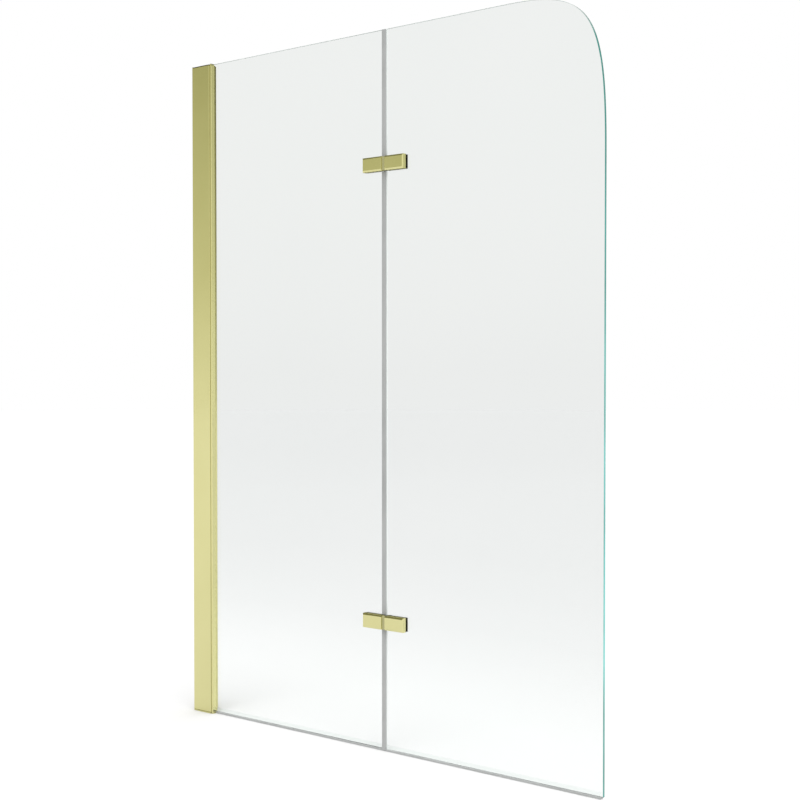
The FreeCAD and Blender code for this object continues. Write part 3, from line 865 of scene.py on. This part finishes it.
class MakePanes(bpy.types.Operator):
    """Make the two glass panes with ground edges and the soft upper corner"""

    bl_idname = "bath_screen.make_panes"
    bl_label = "Glass panes"

    def execute(self, context):
        sizes = context.scene.screen_sizes
        low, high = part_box("fixed_glass")
        outlines = {
            "fixed": [(low.x, low.z), (high.x, low.z), (high.x, high.z), (low.x, high.z)]
        }
        low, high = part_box("folding_glass")
        corner = Vector((high.x, high.z))
        start = Vector((high.x, high.z - sizes.corner_run_side))
        end = Vector((high.x - sizes.corner_run_top, high.z))
        curve = geometry.interpolate_bezier(
            start,
            start + (corner - start) * sizes.corner_pull,
            end + (corner - end) * sizes.corner_pull,
            end,
            sizes.corner_steps,
        )
        outlines["folding"] = [(low.x, low.z), (high.x, low.z)]
        outlines["folding"] += [tuple(point) for point in curve] + [(low.x, high.z)]
        for leaf, outline in outlines.items():
            name = leaf + "_pane"
            pane = new_piece(
                name,
                pane_mesh(name, outline, leaf),
                [clear_glass(), ground_glass_edge(), pale_glass_edge()],
                LEAVES[leaf],
                "clear_glass",
                leaf + "_glass",
            )
            pane.visible_shadow = False
            pane.visible_diffuse = False
        return {"FINISHED"}


class MakeBottomSeals(bpy.types.Operator):
    """Make the bottom seals: a clear clip on the glass over two soft grey lips"""

    bl_idname = "bath_screen.make_bottom_seals"
    bl_label = "Bottom seals"

    def execute(self, context):
        sizes = context.scene.screen_sizes
        for leaf, body in LEAVES.items():
            node = leaf + "_bottom_seal"
            low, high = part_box(node)
            glass_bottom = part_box(leaf + "_glass")[0].z
            base_top = glass_bottom - sizes.seal_gap
            outer = high.y
            inner = outer - sizes.seal_wall
            base = (-outer, sizes.lip_drop), (outer, base_top)
            lips = [rounded_outline(*base, sizes.seal_edge)]
            clips = []
            for side in (-1, 1):
                lips.append(self.lip(sizes, side, low.z))
                y_low, y_high = sorted((side * inner, side * outer))
                leg = (y_low, base_top), (y_high, high.z)
                clips.append(rounded_outline(*leg, sizes.seal_edge))
            mesh = swept(leaf + "_seal_lips", lips, low.x, high.x)
            new_piece(mesh.name, mesh, [lip_seal()], body, "grey_seal", node)
            mesh = swept(leaf + "_seal_clip", clips, low.x, high.x)
            clip = new_piece(mesh.name, mesh, [clear_clip()], body, "grey_seal")
            clip.visible_shadow = False
            clip.visible_diffuse = False
        return {"FINISHED"}

    def lip(self, sizes, side, floor):
        """Outline of a lip that flares out and thins towards a round tip."""
        root_half = sizes.lip_wall / 2
        tip_half = sizes.lip_wall * sizes.lip_tip_part
        root = Vector((sizes.lip_root, sizes.lip_drop + sizes.lip_wall * sizes.lip_rise))
        tip = Vector((sizes.lip_tip, floor + tip_half))
        knee = Vector((sizes.lip_root, tip.y + (root.y - tip.y) * sizes.lip_knee))
        bend = root.lerp(knee, sizes.lip_pull)
        line = geometry.interpolate_bezier(root, bend, knee, tip, LIP_POINTS)
        near, far = [], []
        for index, point in enumerate(line):
            before = line[max(index - 1, 0)]
            after = line[min(index + 1, len(line) - 1)]
            way = (after - before).normalized()
            across = Vector((-way.y, way.x))
            half = root_half + (tip_half - root_half) * index / (len(line) - 1)
            near.append(point - across * half)
            far.append(point + across * half)
        turn = math.degrees(math.atan2(*(near[-1] - tip).yx))
        end = [Vector(p) for p in arc(tip, tip_half, turn, turn + 180, LIP_TIP_STEPS)]
        return [(side * p.x, max(p.y, floor)) for p in near + end[1:-1] + far[::-1]]


class DressGapSeal(bpy.types.Operator):
    """Finish the upright seal between the panes"""

    bl_idname = "bath_screen.dress_gap_seal"
    bl_label = "Upright seal"

    def execute(self, context):
        dress(grey_seal(), "hinge_gap_seal")
        return {"FINISHED"}


class DressHinges(bpy.types.Operator):
    """Finish both hinges: plates, gaskets, screws, sleeves, pins and bushes"""

    bl_idname = "bath_screen.dress_hinges"
    bl_label = "Hinges"

    def execute(self, context):
        sizes = context.scene.screen_sizes

        def weigh(edge):
            """Whole weight for the long edges of a plate, and none for its short ones."""
            return edge.calc_length() > sizes.plate_edge_run

        for hinge in HINGES:
            dress(turned_steel(), hinge + "_hinge_pin")
            dress(white_nylon(), hinge + "_pivot_bushes")
            dress(seam_seal(), hinge + "_seam_strip")
            for leaf in LEAVES:
                part = f"{hinge}_{leaf}_"
                front = part + "front_plate"
                # The front plates' top and bottom faces take the darker gold, a painted shade.
                eased(front, sizes.plate_edge, weigh, "gold_hinge", hinge_gold(), end_face_painted_shade_gold())
                dress(hinge_gold(), part + "back_plate")
                dress(black_rubber(), part + "front_gasket", part + "back_gasket")
                dress(turned_steel(), part + "clamp_screws")
                dress(white_nylon(), part + "glass_sleeves")
        return {"FINISHED"}


class SetStage(bpy.types.Operator):
    """Set the floor, the soft light and the camera"""

    bl_idname = "bath_screen.set_stage"
    bl_label = "Stage"

    def execute(self, context):
        studio = context.scene.screen_studio
        context.scene.view_settings.view_transform = "Standard"
        self.make_floor(studio)
        self.make_world(context.scene, studio)
        self.make_lamp(studio)
        self.make_camera(context.scene, studio)
        return {"FINISHED"}

    def make_floor(self, studio):
        form = bmesh.new()
        bmesh.ops.create_circle(
            form, cap_ends=True, cap_tris=True, segments=FLOOR_POINTS, radius=studio.floor_radius
        )
        mesh = bpy.data.meshes.new("floor")
        form.to_mesh(mesh)
        form.free()
        floor = bpy.data.objects.new("floor", mesh)
        floor.location = (cad_box[1].x / 2, 0, -studio.floor_drop)
        bpy.context.scene.collection.objects.link(floor)
        mesh.materials.append(self.floor_finish(studio))

    def floor_finish(self, studio):
        def build(tree):
            place = add_node(tree, "ShaderNodeTexCoord").outputs["Object"]
            path = add_node(tree, "ShaderNodeLightPath").outputs
            away = add_node(tree, "ShaderNodeVectorMath", {0: place}, operation="LENGTH")
            foot = ranged(tree, away.outputs["Value"], 0, 1, (studio.foot_start, studio.foot_end))
            # Painted shade: the metal sees the floor darker at the foot, the glass sees it fade
            # darker with distance, and the camera sees it evenly pale.
            front = blended(tree, foot, rgba(studio.floor_foot), rgba(studio.floor_front))
            behind = add_node(
                tree,
                "ShaderNodeVectorMath",
                {0: place, 1: studio.fade_from},
                operation="DISTANCE",
            )
            fade = ranged(
                tree, behind.outputs["Value"], 0, 1, (studio.fade_start, studio.fade_end)
            )
            through = self.tones(tree, fade, FLOOR_TONES)
            tone = blended(tree, path["Is Glossy Ray"], rgba(studio.floor), front)
            tone = blended(tree, path["Is Transmission Ray"], tone, through)
            return {
                "Base Color": blended(tree, path["Is Camera Ray"], tone, rgba(studio.floor)),
                "Roughness": 0.9,
                "Specular IOR Level": 0.0,
            }

        return new_finish("pale_floor", build)

    def make_world(self, scene, studio):
        """White to the camera, and a studio that darkens upwards to metal and glass."""
        world = bpy.data.worlds.new("studio")
        world.use_nodes = True
        scene.world = world
        tree = world.node_tree
        tree.nodes.clear()
        way = add_node(tree, "ShaderNodeTexCoord").outputs["Generated"]
        axes = add_node(tree, "ShaderNodeSeparateXYZ", {"Vector": way}).outputs
        height = ranged(tree, axes["Z"], 0, 1, (-1, 1))
        facing = add_node(
            tree, "ShaderNodeVectorMath", {0: way, 1: SOFTBOX_WAY}, operation="DOT_PRODUCT"
        )
        softbox = ranged(tree, facing.outputs["Value"], 0, 1, SOFTBOX_SPAN)
        rear = ranged(tree, axes["Y"], 0, 1, REAR_SPAN)
        right = ranged(tree, axes["X"], 0, 1, RIGHT_SPAN)
        to_metal = self.tones(tree, height, METAL_TONES)
        to_metal = blended(tree, softbox, to_metal, rgba(studio.softbox))
        to_metal = blended(tree, rear, to_metal, self.tones(tree, height, REAR_TONES))
        to_glass = blended(
            tree,
            right,
            self.tones(tree, height, GLASS_TONES),
            self.tones(tree, height, GLASS_RIGHT_TONES),
        )
        path = add_node(tree, "ShaderNodeLightPath").outputs
        room = rgba([studio.room_light] * 3)
        light = blended(tree, path["Is Glossy Ray"], room, to_metal)
        light = blended(tree, path["Is Transmission Ray"], light, to_glass)
        light = blended(tree, path["Is Camera Ray"], light, rgba((1, 1, 1)))
        sky = add_node(tree, "ShaderNodeBackground", {"Color": light})
        add_node(tree, "ShaderNodeOutputWorld", {"Surface": sky.outputs["Background"]})

    def tones(self, tree, place, steps):
        """Colour ramp through places from 0 to 1, each with its tone and its share of blue."""
        ramp = add_node(tree, "ShaderNodeValToRGB", {"Fac": place})
        elements = ramp.color_ramp.elements
        while len(elements) < len(steps):
            elements.new(0.5)
        for element, (position, tone, blue) in zip(elements, steps):
            element.position = position
            element.color = (tone, tone, tone * blue, 1)
        return ramp.outputs["Color"]

    def make_lamp(self, studio):
        lamp = bpy.data.lights.new("broad_lamp", "SUN")
        lamp.energy = studio.lamp_strength
        lamp.angle = studio.lamp_spread
        placed = bpy.data.objects.new("broad_lamp", lamp)
        placed.rotation_euler = Vector(studio.lamp_way).to_track_quat("-Z", "Y").to_euler()
        placed.visible_glossy = False
        placed.visible_transmission = False
        bpy.context.scene.collection.objects.link(placed)

    def make_camera(self, scene, studio):
        lens = bpy.data.cameras.new("camera")
        lens.sensor_width = SENSOR_WIDTH
        lens.lens = studio.camera_lens
        camera = bpy.data.objects.new("camera", lens)
        dip = math.cos(studio.camera_dip)
        ahead = Vector(
            (
                -math.sin(studio.camera_turn) * dip,
                math.cos(studio.camera_turn) * dip,
                -math.sin(studio.camera_dip),
            )
        )
        camera.location = studio.camera_place
        camera.rotation_euler = ahead.to_track_quat("-Z", "Y").to_euler()
        scene.collection.objects.link(camera)
        scene.camera = camera


OPERATORS = (
    DressProfile,
    DressGlazing,
    DressAdjusters,
    MakePanes,
    MakeBottomSeals,
    DressGapSeal,
    DressHinges,
    SetStage,
)


class BathScreenPanel(bpy.types.Panel):
    """Lists the bath screen's pieces and its sizes, finishes and stage"""

    bl_idname = "VIEW3D_PT_bath_screen"
    bl_label = "Bath screen"
    bl_space_type = "VIEW_3D"
    bl_region_type = "UI"
    bl_category = "Bath screen"

    def draw(self, context):
        layout = self.layout
        for operator in OPERATORS:
            layout.operator(operator.bl_idname)
        for group in ("screen_sizes", "screen_finishes", "screen_studio"):
            settings = getattr(context.scene, group)
            box = layout.box()
            for name in settings.__annotations__:
                box.prop(settings, name)


CLASSES = (ScreenSizes, ScreenFinishes, ScreenStudio, *OPERATORS, BathScreenPanel)


def register():
    for item in CLASSES:
        bpy.utils.register_class(item)
    bpy.types.Scene.screen_sizes = PointerProperty(type=ScreenSizes)
    bpy.types.Scene.screen_finishes = PointerProperty(type=ScreenFinishes)
    bpy.types.Scene.screen_studio = PointerProperty(type=ScreenStudio)


def unregister():
    del bpy.types.Scene.screen_studio
    del bpy.types.Scene.screen_finishes
    del bpy.types.Scene.screen_sizes
    for item in reversed(CLASSES):
        bpy.utils.unregister_class(item)


def main():
    register()
    for operator in OPERATORS:
        group, name = operator.bl_idname.split(".")
        getattr(getattr(bpy.ops, group), name)()


if __name__ == "__main__":
    main()
